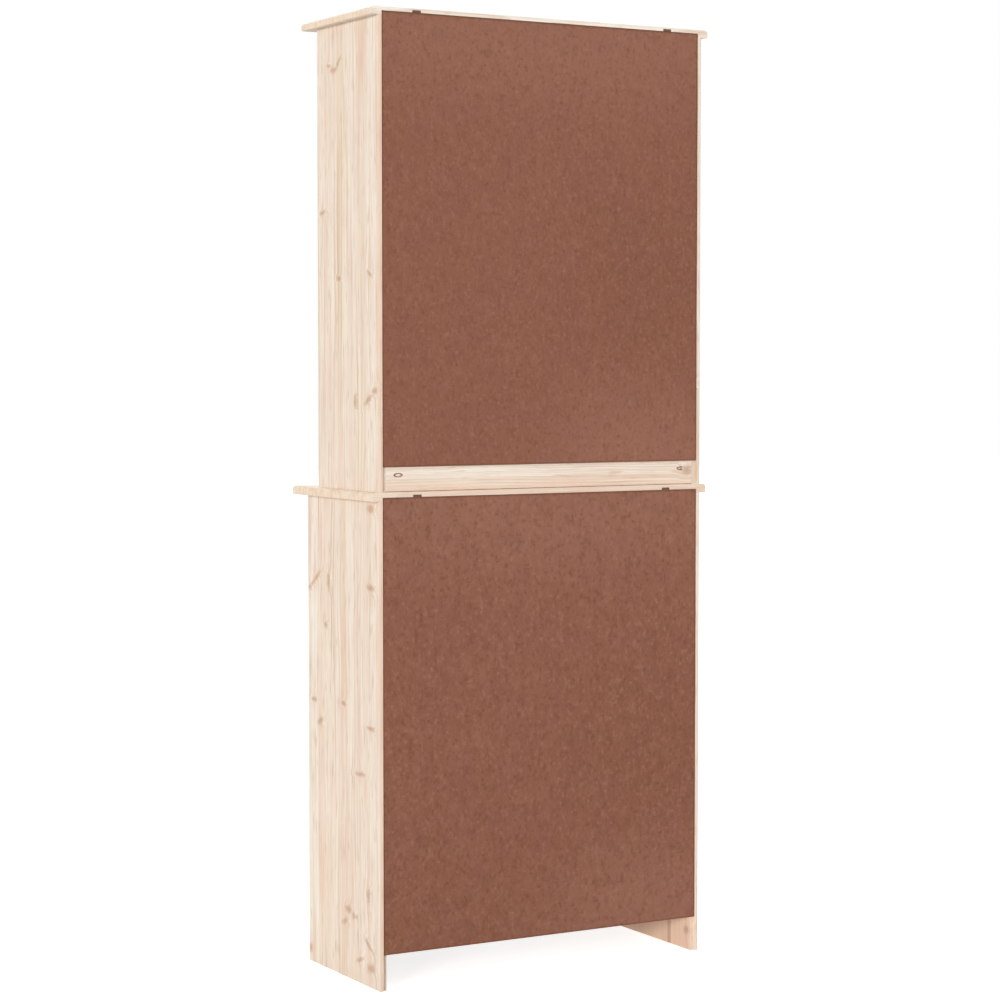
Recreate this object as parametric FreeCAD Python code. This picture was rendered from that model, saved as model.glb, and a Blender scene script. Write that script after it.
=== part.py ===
import FreeCAD, Part
import math
import os

# A two-part pine highboard. A deep lower cabinet with a drawer and a pair of doors carries a
# shallower upper cabinet with a taller pair of doors. Both backs are hardboard in rebates.
# Millimetres, +Z up, the doors face -Y, the origin is on the floor below the middle of the part.

V = FreeCAD.Vector
LEFT = V(-1, 0, 0)
FRONT = V(0, -1, 0)
UP = V(0, 0, 1)
DOWN = V(0, 0, -1)
ON_EDGE = 0.001

# Carcass
BODY_WIDTH = 728.0
LOWER_DEPTH = 314.0
UPPER_DEPTH = 264.0
LOWER_HEIGHT = 954.0
UPPER_HEIGHT = 911.0
FOOT_HEIGHT = 69.0
RAIL_HEIGHT = 47.5
BOARD = 16.0
SIDE_BACK_ROUND = 3.0
BOARD_EASE = 1.2
PLINTH_FLOOR_GAP = 5.0
RAIL_FOOT_GAP = 0.6

# Top boards
LOWER_TOP_BOARD = 18.0
UPPER_TOP_BOARD = 15.0
TOP_SIDE_OVERHANG = 14.0
LOWER_TOP_OVERHANG = 40.0
UPPER_TOP_OVERHANG = 40.0
TOP_UPPER_ROUND = 7.0
TOP_LOWER_ROUND = 2.0

# Hardboard backs, their rebates, wedges and nails
HARDBOARD = 3.0
HARDBOARD_PLAY = 0.5
REBATE_WIDTH = 8.5
REBATE_DEPTH = 5.0
TOP_REBATE_HEIGHT = 7.8
NOTCH_SPACING = 564.0
NOTCH_WIDTH = 19.0
NOTCH_HEIGHT = 4.5
NOTCH_DEPTH = 14.0
WEDGE_SIDE_PLAY = 0.3
WEDGE_TOP_PLAY = 0.2
WEDGE_RECESS = 1.5
WEDGE_LENGTH = 11.0
WEDGE_TIP = 2.0
NAIL_PITCH = 145.0
NAIL_END_MARGIN = 30.0
NAIL_RADIUS = 0.7
NAIL_LENGTH = 16.0
NAIL_HEAD_RADIUS = 1.6
NAIL_HEAD = 0.6

# Loose shelves and their pins
UPPER_SHELVES = 2
LOWER_SHELVES = 1
SHELF_SIDE_PLAY = 1.0
SHELF_SETBACK = 8.0
SHELF_BACK_PLAY = 2.0
SHELF_PIN_INSET = 45.0
SHELF_PIN_RADIUS = 2.5
SHELF_PIN_BITE = 9.0
SHELF_PIN_REACH = 11.0
SHELF_PIN_WIDTH = 10.0
SHELF_PIN_PLATE = 2.0
SHELF_PIN_PLAY = 0.05

# Dowels
DOWEL_RADIUS = 4.0
DOWEL_LENGTH = 30.0
DOWEL_IN_SIDE = 10.0
DOWEL_IN_TOP = 8.0
DOWEL_INSET = 40.0
DOWELS_PER_END = 3
STACK_DOWEL_INSET = 70.0
RAIL_DOWEL_INSET = 14.0
DOWEL_PLAY = 0.1
DOWEL_END_PLAY = 0.5

# Pocket screws of the back rail
POCKET_ANGLE = 24.0
POCKET_RADIUS = 3.8
POCKET_FROM_END = 27.0
POCKET_FROM_BASE = 32.0
POCKET_WEB = 17.0
POCKET_SCREW_RADIUS = 2.0
POCKET_SCREW_LENGTH = 27.0
POCKET_HEAD_RADIUS = 3.4
POCKET_HEAD = 2.5
SCREW_PLAY = 0.05

# Fronts
DOOR_THICKNESS = 18.0
DOOR_EDGE_INSET = 10.5
DOOR_MEETING_GAP = 3.0
FRONT_REVEAL = 4.0
DOOR_BOTTOM_LAP = 10.0
DRAWER_FRONT_HEIGHT = 150.0
STILE_WIDTH = 58.0
TOP_RAIL_WIDTH = 58.0
BOTTOM_RAIL_WIDTH = 72.0
GROOVE_WIDTH = 6.0
GROOVE_DEPTH = 10.0
TENON_END_PLAY = 0.5
PANEL_EDGE_PLAY = 1.0
PANEL_FACE_PLAY = 0.2
FIELD_EDGE_PLAY = 1.0
FIELD_BEVEL = 26.0
FIELD_HEIGHT = 4.0
FRONT_ROUND = 2.0
FRAME_EASE = 0.8

# Hinges
HINGE_HEIGHT = 50.0
HINGE_INSET = 80.0
LEAF = 1.2
LEAF_GAP = 0.4
DOOR_LEAF_WIDTH = 26.0
FRAME_WING_DEPTH = 24.0
RECESS_PLAY = 0.3
KNUCKLES = 5
KNUCKLE_GAP = 0.3
BARREL_RADIUS = 3.0
BARREL_GAP = 0.4
PIN_RADIUS = 1.5
PIN_PLAY = 0.05
PIN_HEAD_RADIUS = 2.4
PIN_HEAD = 1.2
LEAF_SCREW_RADIUS = 1.5
LEAF_SCREW_HEAD_RADIUS = 2.7
LEAF_SCREW_LENGTH = 12.0
LEAF_SCREW_INSET = 11.0
LEAF_SCREW_FROM_EDGE = 9.0

# Knobs
KNOB_PROJECTION = 26.0
KNOB_RADIUS = 15.0
KNOB_RIM_AT = 15.0
KNOB_RIM_ROUND = 1.5
KNOB_NECK_RADIUS = 6.5
KNOB_NECK_AT = 8.0
KNOB_BASE_RADIUS = 9.0
KNOB_BASE = 2.0
KNOB_TENON_RADIUS = 5.0
KNOB_TENON_LENGTH = 11.0
KNOB_TENON_PLAY = 0.1
UPPER_KNOB_LIFT = 300.0
LOWER_KNOB_DROP = 130.0
DRAWER_KNOB_SPACING = 350.0

# Drawer box and runners
DRAWER_BOARD = 12.0
DRAWER_SIDE_HEIGHT = 100.0
DRAWER_LIFT = 8.0
DRAWER_REAR_GAP = 26.0
DRAWER_SIDE_GAP = 5.0
DRAWER_DADO = 6.0
DRAWER_BACK_DROP = 8.0
DRAWER_BOTTOM = 3.0
DRAWER_BOTTOM_LIFT = 8.0
DRAWER_BOTTOM_GROOVE = 5.0
DRAWER_BOTTOM_PLAY = 0.2
RUNNER_HEIGHT = 12.0
RUNNER_LIFT = 56.0
RUNNER_BITE = 5.5
RUNNER_END_PLAY = 0.5
RUNNER_PLAY = 0.3
RUNNER_SETBACK = 8.0
RUNNER_BACK_GAP = 12.0

# Magnetic catches
CATCH_WIDTH = 48.0
CATCH_DEPTH = 18.0
CATCH_HEIGHT = 14.0
CATCH_POLE_FROM_MIDDLE = 6.0
CATCH_POLE_WIDTH = 12.0
CATCH_POLE_HEIGHT = 6.0
CATCH_POLE_DROP = 6.0
CATCH_POLE_DEPTH = 1.5
STRIKE_MARGIN = 1.0

# Places that follow from the sizes
DOOR_BACK_GAP = LEAF + LEAF_GAP
OUTER_X = BODY_WIDTH / 2
INNER_X = OUTER_X - BOARD
REBATE_X = INNER_X + REBATE_WIDTH
TOP_X = OUTER_X + TOP_SIDE_OVERHANG
NOTCH_X = NOTCH_SPACING / 2
DOOR_EDGE_X = -OUTER_X + DOOR_EDGE_INSET
DOOR_MEET_X = -DOOR_MEETING_GAP / 2
HINGE_X = DOOR_EDGE_X - BARREL_RADIUS - BARREL_GAP

KNOB_REACH = LOWER_DEPTH + DOOR_BACK_GAP + DOOR_THICKNESS + KNOB_PROJECTION
OVERALL_DEPTH = max(LOWER_DEPTH + LOWER_TOP_OVERHANG, KNOB_REACH)
BACK_Y = OVERALL_DEPTH / 2
SEAT_Y = BACK_Y - REBATE_DEPTH
LOWER_FRONT_Y = BACK_Y - LOWER_DEPTH
UPPER_FRONT_Y = BACK_Y - UPPER_DEPTH

LOWER_TOP_UNDER = LOWER_HEIGHT - LOWER_TOP_BOARD
UPPER_RAIL_UNDER = LOWER_HEIGHT + RAIL_FOOT_GAP
UPPER_BOTTOM_UNDER = LOWER_HEIGHT + RAIL_HEIGHT
UPPER_TOP_UNDER = LOWER_HEIGHT + UPPER_HEIGHT - UPPER_TOP_BOARD
LOWER_FLOOR = FOOT_HEIGHT + BOARD
UPPER_FLOOR = UPPER_BOTTOM_UNDER + BOARD
DRAWER_FRONT_LOW = LOWER_TOP_UNDER - FRONT_REVEAL - DRAWER_FRONT_HEIGHT
LOWER_DOOR_HIGH = DRAWER_FRONT_LOW - FRONT_REVEAL
LOWER_DOOR_LOW = LOWER_FLOOR - DOOR_BOTTOM_LAP
UPPER_DOOR_HIGH = UPPER_TOP_UNDER - FRONT_REVEAL
UPPER_DOOR_LOW = UPPER_FLOOR - DOOR_BOTTOM_LAP
DECK_UNDER = (LOWER_DOOR_HIGH + DRAWER_FRONT_LOW - BOARD) / 2
DECK_TOP = DECK_UNDER + BOARD


def block(x0, x1, y0, y1, z0, z1):
    return Part.makeBox(x1 - x0, y1 - y0, z1 - z0, V(x0, y0, z0))


def rod(radius, start, direction, length):
    return Part.makeCylinder(radius, length, start, direction)


def joined(shapes):
    return shapes[0].fuse(shapes[1:]).removeSplitter()


def mirrored(shape):
    return shape.mirror(V(0, 0, 0), LEFT)


def both(shapes):
    """Left-hand shapes together with their right-hand images."""
    return shapes + [mirrored(shape) for shape in shapes]


def drilled(shape, tools):
    """The shape less every tool that comes near it."""
    near = [tool for tool in tools if tool.BoundBox.intersect(shape.BoundBox)]
    return shape.cut(near) if near else shape


def spread(low, high, count):
    """Evenly spaced places from low to high, both included."""
    return [low + (high - low) * n / (count - 1) for n in range(count)]


def edges_at(shape, x=None, y=None, z=None):
    """Edges that lie wholly at the given coordinates."""
    found = []
    for edge in shape.Edges:
        box = edge.BoundBox
        spans = ((x, box.XMin, box.XMax), (y, box.YMin, box.YMax), (z, box.ZMin, box.ZMax))
        if all(at is None or (abs(low - at) < ON_EDGE and abs(high - at) < ON_EDGE)
               for at, low, high in spans):
            found.append(edge)
    return found


def rounded(shape, radius, *places):
    """The shape with the edges at each place rounded."""
    edges = [edge for place in places for edge in edges_at(shape, **place)]
    return shape.makeFillet(radius, edges)


def dowel(at, direction, behind, ahead):
    """A dowel across a joint face, and the hole that takes it."""
    start = at - direction * behind
    pin = rod(DOWEL_RADIUS, start, direction, behind + ahead)
    hole = rod(DOWEL_RADIUS + DOWEL_PLAY, start - direction * DOWEL_END_PLAY, direction,
               behind + ahead + 2 * DOWEL_END_PLAY)
    return pin, hole


def dowel_places():
    """Joint face, direction and bite of every dowel on the left side."""
    places = []
    in_panel = DOWEL_LENGTH - DOWEL_IN_SIDE
    in_side = DOWEL_LENGTH - DOWEL_IN_TOP
    shelf_ends = ((LOWER_FRONT_Y, FOOT_HEIGHT), (LOWER_FRONT_Y, DECK_UNDER),
                  (UPPER_FRONT_Y, UPPER_BOTTOM_UNDER))
    for front, under in shelf_ends:
        for y in spread(front + DOWEL_INSET, SEAT_Y - DOWEL_INSET, DOWELS_PER_END):
            places.append((V(-INNER_X, y, under + BOARD / 2), LEFT, in_panel, DOWEL_IN_SIDE))
    rails = ((LOWER_FRONT_Y, PLINTH_FLOOR_GAP, FOOT_HEIGHT),
             (UPPER_FRONT_Y, UPPER_RAIL_UNDER, UPPER_BOTTOM_UNDER))
    for front, low, high in rails:
        for z in (low + RAIL_DOWEL_INSET, high - RAIL_DOWEL_INSET):
            places.append((V(-INNER_X, front + BOARD / 2, z), LEFT, in_panel, DOWEL_IN_SIDE))
    side_middle = -INNER_X - BOARD / 2
    for front, under in ((LOWER_FRONT_Y, LOWER_TOP_UNDER), (UPPER_FRONT_Y, UPPER_TOP_UNDER)):
        for y in spread(front + DOWEL_INSET, SEAT_Y - DOWEL_INSET, DOWELS_PER_END):
            places.append((V(side_middle, y, under), UP, in_side, DOWEL_IN_TOP))
    for y in (UPPER_FRONT_Y + STACK_DOWEL_INSET, SEAT_Y - STACK_DOWEL_INSET):
        places.append((V(side_middle, y, LOWER_HEIGHT), DOWN, in_side, DOWEL_IN_TOP))
    return places


def pocket_screw():
    """Left pocket hole of the back rail, its pilot hole and its screw."""
    angle = math.radians(POCKET_ANGLE)
    along = V(-math.cos(angle), -math.sin(angle), 0)
    mouth = V(-INNER_X + POCKET_FROM_END, SEAT_Y, LOWER_HEIGHT + POCKET_FROM_BASE)
    seat = mouth + along * ((POCKET_FROM_END - POCKET_WEB) / math.cos(angle))
    pocket = rod(POCKET_RADIUS, seat, along * -1, POCKET_FROM_END / math.sin(angle))
    pilot = rod(POCKET_SCREW_RADIUS + SCREW_PLAY, seat, along, POCKET_SCREW_LENGTH + SCREW_PLAY)
    head = rod(POCKET_HEAD_RADIUS, seat, along * -1, POCKET_HEAD)
    shank = rod(POCKET_SCREW_RADIUS, seat, along, POCKET_SCREW_LENGTH)
    return pocket, pilot, joined([head, shank])


def leaf_screw(start, direction, play=0.0):
    """A countersunk screw through a hinge leaf, or with play the hole for it."""
    head = Part.makeCone(LEAF_SCREW_HEAD_RADIUS + play, LEAF_SCREW_RADIUS + play, LEAF, start, direction)
    shank = rod(LEAF_SCREW_RADIUS + play, start, direction, LEAF_SCREW_LENGTH + play)
    return joined([head, shank])


def hinge(front, base):
    """A left-hand hinge for a door before the board edge at y = front, with its screws and holes."""
    top = base + HINGE_HEIGHT
    axis = V(HINGE_X, front - BARREL_RADIUS - BARREL_GAP, base)
    back = front - DOOR_BACK_GAP
    wing_x = -INNER_X + LEAF
    leaf_x = DOOR_EDGE_X + DOOR_LEAF_WIDTH
    frame = [block(DOOR_EDGE_X, wing_x, front - LEAF, front, base, top),
             block(-INNER_X, wing_x, front - LEAF, front + FRAME_WING_DEPTH, base, top)]
    door = [block(DOOR_EDGE_X, leaf_x, back - LEAF, back, base, top)]
    pitch = HINGE_HEIGHT / KNUCKLES
    for n in range(KNUCKLES):
        low = base + n * pitch + KNUCKLE_GAP / 2
        high = base + (n + 1) * pitch - KNUCKLE_GAP / 2
        leaf, face = (frame, front) if n % 2 == 0 else (door, back)
        leaf.append(rod(BARREL_RADIUS, V(axis.x, axis.y, low), UP, high - low))
        leaf.append(block(axis.x, DOOR_EDGE_X, face - LEAF, face, low, high))
    bore = rod(PIN_RADIUS + PIN_PLAY, axis, UP, HINGE_HEIGHT)
    heights = (base + LEAF_SCREW_INSET, top - LEAF_SCREW_INSET)
    wing_screw_y = front + FRAME_WING_DEPTH - LEAF_SCREW_FROM_EDGE
    frame_starts = [V(wing_x, wing_screw_y, z) for z in heights]
    door_starts = [V(leaf_x - LEAF_SCREW_FROM_EDGE, back, z) for z in heights]
    frame_holes = [leaf_screw(start, LEFT, SCREW_PLAY) for start in frame_starts]
    door_holes = [leaf_screw(start, FRONT, SCREW_PLAY) for start in door_starts]
    pin = joined([rod(PIN_RADIUS, axis, UP, HINGE_HEIGHT),
                  rod(PIN_HEAD_RADIUS, V(axis.x, axis.y, top), UP, PIN_HEAD)])
    recess = block(DOOR_EDGE_X, leaf_x + RECESS_PLAY, back - LEAF, back,
                   base - RECESS_PLAY, top + RECESS_PLAY)
    return {
        "frame_leaf": joined(frame).cut([bore] + frame_holes),
        "door_leaf": joined(door).cut([bore] + door_holes),
        "pin": pin,
        "frame_screws": [leaf_screw(start, LEFT) for start in frame_starts],
        "door_screws": [leaf_screw(start, FRONT) for start in door_starts],
        "frame_holes": frame_holes,
        "door_holes": door_holes + [recess],
    }


def knob(x, face, z):
    """A turned knob on the front face y = face, with the tenon that is glued into the front."""
    crown = KNOB_PROJECTION - KNOB_RIM_AT
    crown_radius = (KNOB_RADIUS ** 2 + crown ** 2) / (2 * crown)
    half_angle = math.asin(KNOB_RADIUS / crown_radius) / 2
    crown_middle = V(crown_radius * math.sin(half_angle),
                     -KNOB_PROJECTION + crown_radius * (1 - math.cos(half_angle)), 0)
    points = [V(0, -KNOB_PROJECTION, 0), V(0, KNOB_TENON_LENGTH, 0),
              V(KNOB_TENON_RADIUS, KNOB_TENON_LENGTH, 0), V(KNOB_TENON_RADIUS, 0, 0),
              V(KNOB_BASE_RADIUS, 0, 0), V(KNOB_BASE_RADIUS, -KNOB_BASE, 0),
              V(KNOB_NECK_RADIUS, -KNOB_NECK_AT, 0), V(KNOB_RADIUS, -KNOB_RIM_AT, 0)]
    outline = [Part.LineSegment(a, b).toShape() for a, b in zip(points, points[1:])]
    outline.append(Part.Arc(points[-1], crown_middle, points[0]).toShape())
    turned = Part.Face(Part.Wire(outline)).revolve(V(0, 0, 0), FRONT, 360)
    turned = rounded(turned, KNOB_RIM_ROUND, {"y": -KNOB_RIM_AT})
    turned.translate(V(x, face, z))
    return turned


def knob_hole(x, face, z):
    return rod(KNOB_TENON_RADIUS + KNOB_TENON_PLAY, V(x, face, z), FRONT * -1,
               KNOB_TENON_LENGTH + KNOB_TENON_PLAY)


def rectangle(x0, x1, z0, z1, y):
    corners = [V(x0, y, z0), V(x1, y, z0), V(x1, y, z1), V(x0, y, z1), V(x0, y, z0)]
    return Part.makePolygon(corners)


def fielded_panel(x0, x1, z0, z1, tongue_back, tongue_front):
    """A panel whose edge runs in the grooves round the opening and whose middle stands forward."""
    lap = GROOVE_DEPTH - PANEL_EDGE_PLAY
    sheet = block(x0 - lap, x1 + lap, tongue_front, tongue_back, z0 - lap, z1 + lap)
    edge = FIELD_EDGE_PLAY
    inner = edge + FIELD_BEVEL
    field = Part.makeLoft([
        rectangle(x0 + edge, x1 - edge, z0 + edge, z1 - edge, tongue_front),
        rectangle(x0 + inner, x1 - inner, z0 + inner, z1 - inner, tongue_front - FIELD_HEIGHT),
    ], True, True)
    return joined([sheet, field])


def left_door(front, low, high, knob_z, catch_under):
    """A left-hand framed door before the board edge at y = front, its pieces and its frame hardware."""
    back = front - DOOR_BACK_GAP
    face = back - DOOR_THICKNESS
    groove_back = back - (DOOR_THICKNESS - GROOVE_WIDTH) / 2
    groove_front = groove_back - GROOVE_WIDTH
    open_x0 = DOOR_EDGE_X + STILE_WIDTH
    open_x1 = DOOR_MEET_X - STILE_WIDTH
    open_z0 = low + BOTTOM_RAIL_WIDTH
    open_z1 = high - TOP_RAIL_WIDTH
    groove = block(open_x0 - GROOVE_DEPTH, open_x1 + GROOVE_DEPTH, groove_front, groove_back, low, high)
    rail_groove = block(open_x0 - GROOVE_DEPTH, open_x1 + GROOVE_DEPTH, groove_front, groove_back,
                        open_z0 - GROOVE_DEPTH, open_z1 + GROOVE_DEPTH)
    hinges = [hinge(front, low + HINGE_INSET), hinge(front, high - HINGE_INSET - HINGE_HEIGHT)]
    knob_x = DOOR_MEET_X - STILE_WIDTH / 2

    def stile(x0, x1, outer_x, inner_x):
        board = block(x0, x1, face, back, low, high)
        board = rounded(board, FRONT_ROUND, {"x": outer_x, "y": face},
                        {"z": low, "y": face}, {"z": high, "y": face})
        board = rounded(board, FRAME_EASE, {"x": inner_x, "y": face})
        return board.cut(groove)

    def rail(z0, z1, outer_z, inner_z):
        board = block(open_x0, open_x1, face, back, z0, z1)
        board = rounded(board, FRONT_ROUND, {"z": outer_z, "y": face})
        board = rounded(board, FRAME_EASE, {"z": inner_z, "y": face})
        reach = GROOVE_DEPTH - TENON_END_PLAY
        tenon = block(open_x0 - reach, open_x1 + reach, groove_front, groove_back, z0, z1)
        return joined([board, tenon]).cut(rail_groove)

    leaf_holes = [hole for each in hinges for hole in each["door_holes"]]
    strike = block(-CATCH_POLE_FROM_MIDDLE - CATCH_POLE_WIDTH - STRIKE_MARGIN,
                   -CATCH_POLE_FROM_MIDDLE + STRIKE_MARGIN, back, back + LEAF,
                   catch_under - CATCH_POLE_DROP - CATCH_POLE_HEIGHT - STRIKE_MARGIN,
                   catch_under - CATCH_POLE_DROP + STRIKE_MARGIN)
    fittings = [each["door_leaf"] for each in hinges]
    fittings += [screw for each in hinges for screw in each["door_screws"]]
    pieces = {
        "hinge_stile": drilled(stile(DOOR_EDGE_X, open_x0, DOOR_EDGE_X, open_x0), leaf_holes),
        "lock_stile": drilled(stile(open_x1, DOOR_MEET_X, DOOR_MEET_X, open_x1),
                              [knob_hole(knob_x, face, knob_z)]),
        "top_rail": rail(open_z1, high, high, open_z1),
        "bottom_rail": rail(low, open_z0, low, open_z0),
        "panel": fielded_panel(open_x0, open_x1, open_z0, open_z1,
                               groove_back - PANEL_FACE_PLAY, groove_front + PANEL_FACE_PLAY),
        "knob": knob(knob_x, face, knob_z),
        "fittings": Part.makeCompound(fittings + [strike]),
    }
    return pieces, hinges


def left_side(front, low, high, tools):
    """A left side board with the rebate for the back along its whole height."""
    board = block(-OUTER_X, -INNER_X, front, BACK_Y, low, high)
    board = rounded(board, SIDE_BACK_ROUND, {"x": -OUTER_X, "y": BACK_Y})
    board = rounded(board, BOARD_EASE, {"x": -OUTER_X, "y": front}, {"x": -INNER_X, "y": front})
    rebate = block(-REBATE_X, -INNER_X, SEAT_Y, BACK_Y, low, high)
    return drilled(board.cut(rebate), tools)


def top_board(front, under, thickness, tools):
    """A top board rounded at its front and side edges, with the back's rebate and wedge notches."""
    top = under + thickness
    board = block(-TOP_X, TOP_X, front, BACK_Y, under, top)
    rims = ({"x": -TOP_X}, {"x": TOP_X}, {"y": front})
    board = rounded(board, TOP_UPPER_ROUND, *[{"z": top, **rim} for rim in rims])
    board = rounded(board, TOP_LOWER_ROUND, *[{"z": under, **rim} for rim in rims])
    roof = under + TOP_REBATE_HEIGHT
    cuts = [block(-REBATE_X, REBATE_X, SEAT_Y, BACK_Y, under, roof)]
    cuts += both([block(-NOTCH_X - NOTCH_WIDTH / 2, -NOTCH_X + NOTCH_WIDTH / 2,
                        BACK_Y - NOTCH_DEPTH, BACK_Y, roof, roof + NOTCH_HEIGHT)])
    return drilled(board, cuts + tools)


def left_wedge(under):
    """The wedge in the left notch of the top board whose underside is at height under."""
    floor = under + TOP_REBATE_HEIGHT
    thick = floor + NOTCH_HEIGHT - WEDGE_TOP_PLAY
    outer = BACK_Y - WEDGE_RECESS
    inner = outer - WEDGE_LENGTH
    profile = [V(0, outer, floor), V(0, inner, floor), V(0, inner, floor + WEDGE_TIP),
               V(0, outer, thick), V(0, outer, floor)]
    width = NOTCH_WIDTH - 2 * WEDGE_SIDE_PLAY
    wedge = Part.Face(Part.makePolygon(profile)).extrude(V(width, 0, 0))
    wedge.translate(V(-NOTCH_X - width / 2, 0, 0))
    return wedge


def cross_board(front, under, tools):
    """A fixed board between the sides, from the front edge back to the hardboard."""
    board = block(-INNER_X, INNER_X, front, SEAT_Y, under, under + BOARD)
    return drilled(board, tools)


def rail_board(front, low, high):
    """An upright board between the sides whose front face is at y = front."""
    return block(-INNER_X, INNER_X, front, front + BOARD, low, high)


def shelf(front, under):
    x = INNER_X - SHELF_SIDE_PLAY
    board = block(-x, x, front + SHELF_SETBACK, SEAT_Y - SHELF_BACK_PLAY, under, under + BOARD)
    return rounded(board, BOARD_EASE, {"y": front + SHELF_SETBACK, "z": under},
                   {"y": front + SHELF_SETBACK, "z": under + BOARD})


def shelf_places(floor, ceiling, count):
    """Undersides of loose shelves that share the height between floor and ceiling."""
    clear = (ceiling - floor - count * BOARD) / (count + 1)
    return [floor + clear + n * (clear + BOARD) for n in range(count)]


def left_shelf_pins(front, under):
    """The two left pins below a loose shelf, and the holes that take them."""
    pins = []
    holes = []
    axis_z = under - SHELF_PIN_PLATE / 2
    for y in (front + SHELF_PIN_INSET, SEAT_Y - SHELF_PIN_INSET):
        plate = block(-INNER_X, -INNER_X + SHELF_PIN_REACH, y - SHELF_PIN_WIDTH / 2, y + SHELF_PIN_WIDTH / 2,
                      under - SHELF_PIN_PLATE, under)
        face = V(-INNER_X, y, axis_z)
        pins.append(joined([plate, rod(SHELF_PIN_RADIUS, face, LEFT, SHELF_PIN_BITE)]))
        holes.append(rod(SHELF_PIN_RADIUS + SHELF_PIN_PLAY, face, LEFT, SHELF_PIN_BITE + SHELF_PIN_PLAY))
    return pins, holes


def nail_places(low, high, rows):
    """Where the nails of a hardboard go: down both edges and along each row of board edges."""
    edge_x = INNER_X + REBATE_WIDTH / 2
    heights = spread(low + NAIL_END_MARGIN, high - NAIL_END_MARGIN,
                     1 + math.ceil((high - low - 2 * NAIL_END_MARGIN) / NAIL_PITCH))
    across = spread(-INNER_X + NAIL_END_MARGIN, INNER_X - NAIL_END_MARGIN,
                    1 + math.ceil(2 * (INNER_X - NAIL_END_MARGIN) / NAIL_PITCH))
    places = [(x, z) for x in (-edge_x, edge_x) for z in heights]
    return places + [(x, z) for z in rows for x in across]


def nail(x, z):
    surface = V(x, SEAT_Y + HARDBOARD, z)
    return joined([rod(NAIL_HEAD_RADIUS, surface, FRONT * -1, NAIL_HEAD),
                   rod(NAIL_RADIUS, surface, FRONT, NAIL_LENGTH)])


def back_panel(low, under, tools):
    """A hardboard back that stands on height low and laps into the rebate of the top board."""
    x = REBATE_X - HARDBOARD_PLAY
    high = under + TOP_REBATE_HEIGHT - HARDBOARD_PLAY
    return drilled(block(-x, x, SEAT_Y, SEAT_Y + HARDBOARD, low, high), tools)


def catch(front, under):
    """A double magnetic catch below the board at height under, its poles level with y = front."""
    half = CATCH_WIDTH / 2
    body = block(-half, half, front + CATCH_POLE_DEPTH, front + CATCH_DEPTH, under - CATCH_HEIGHT, under)
    pole_high = under - CATCH_POLE_DROP
    pole = block(-CATCH_POLE_FROM_MIDDLE - CATCH_POLE_WIDTH, -CATCH_POLE_FROM_MIDDLE,
                 front, front + CATCH_POLE_DEPTH, pole_high - CATCH_POLE_HEIGHT, pole_high)
    return joined([body] + both([pole]))


def drawer():
    """The drawer's pieces and the two runners that carry it."""
    back = LOWER_FRONT_Y - DOOR_BACK_GAP
    face = back - DOOR_THICKNESS
    rear = SEAT_Y - DRAWER_REAR_GAP
    low = DECK_TOP + DRAWER_LIFT
    outer = INNER_X - DRAWER_SIDE_GAP
    inner = outer - DRAWER_BOARD
    floor = low + DRAWER_BOTTOM_LIFT
    runner_low = low + RUNNER_LIFT
    groove_x = outer - RUNNER_BITE - RUNNER_END_PLAY
    reach = inner + DRAWER_BOTTOM_GROOVE
    play = DRAWER_BOTTOM_PLAY

    side = block(-outer, -inner, back - DRAWER_DADO, rear, low, low + DRAWER_SIDE_HEIGHT)
    front_socket = block(-outer, -inner, back - DRAWER_DADO, back, low, low + DRAWER_SIDE_HEIGHT)
    runner_groove = block(-outer, -groove_x, back, rear, runner_low - RUNNER_PLAY,
                          runner_low + RUNNER_HEIGHT + RUNNER_PLAY)
    bottom_groove = block(-reach, reach, back - DRAWER_BOTTOM_GROOVE, rear,
                          floor, floor + DRAWER_BOTTOM + play)
    left = side.cut([runner_groove, bottom_groove])

    width = -DOOR_EDGE_X
    front = block(-width, width, face, back, DRAWER_FRONT_LOW, DRAWER_FRONT_LOW + DRAWER_FRONT_HEIGHT)
    front = rounded(front, FRONT_ROUND, {"y": face})
    knob_z = DRAWER_FRONT_LOW + DRAWER_FRONT_HEIGHT / 2
    knob_x = DRAWER_KNOB_SPACING / 2
    holes = [knob_hole(x, face, knob_z) for x in (-knob_x, knob_x)]
    front = front.cut(both([front_socket]) + [bottom_groove] + holes)

    tail = block(-inner, inner, rear - DRAWER_BOARD, rear, floor + DRAWER_BOTTOM,
                 low + DRAWER_SIDE_HEIGHT - DRAWER_BACK_DROP)
    bottom = block(-reach + play, reach - play, back - DRAWER_BOTTOM_GROOVE + play, rear,
                   floor, floor + DRAWER_BOTTOM)
    runner = block(-INNER_X, -outer + RUNNER_BITE, LOWER_FRONT_Y + RUNNER_SETBACK, SEAT_Y - RUNNER_BACK_GAP,
                   runner_low, runner_low + RUNNER_HEIGHT)
    pieces = {
        "front": front,
        "left_side": left,
        "right_side": mirrored(left),
        "back": tail,
        "bottom": bottom,
        "knobs": Part.makeCompound([knob(x, face, knob_z) for x in (-knob_x, knob_x)]),
    }
    return pieces, both([runner])


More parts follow.
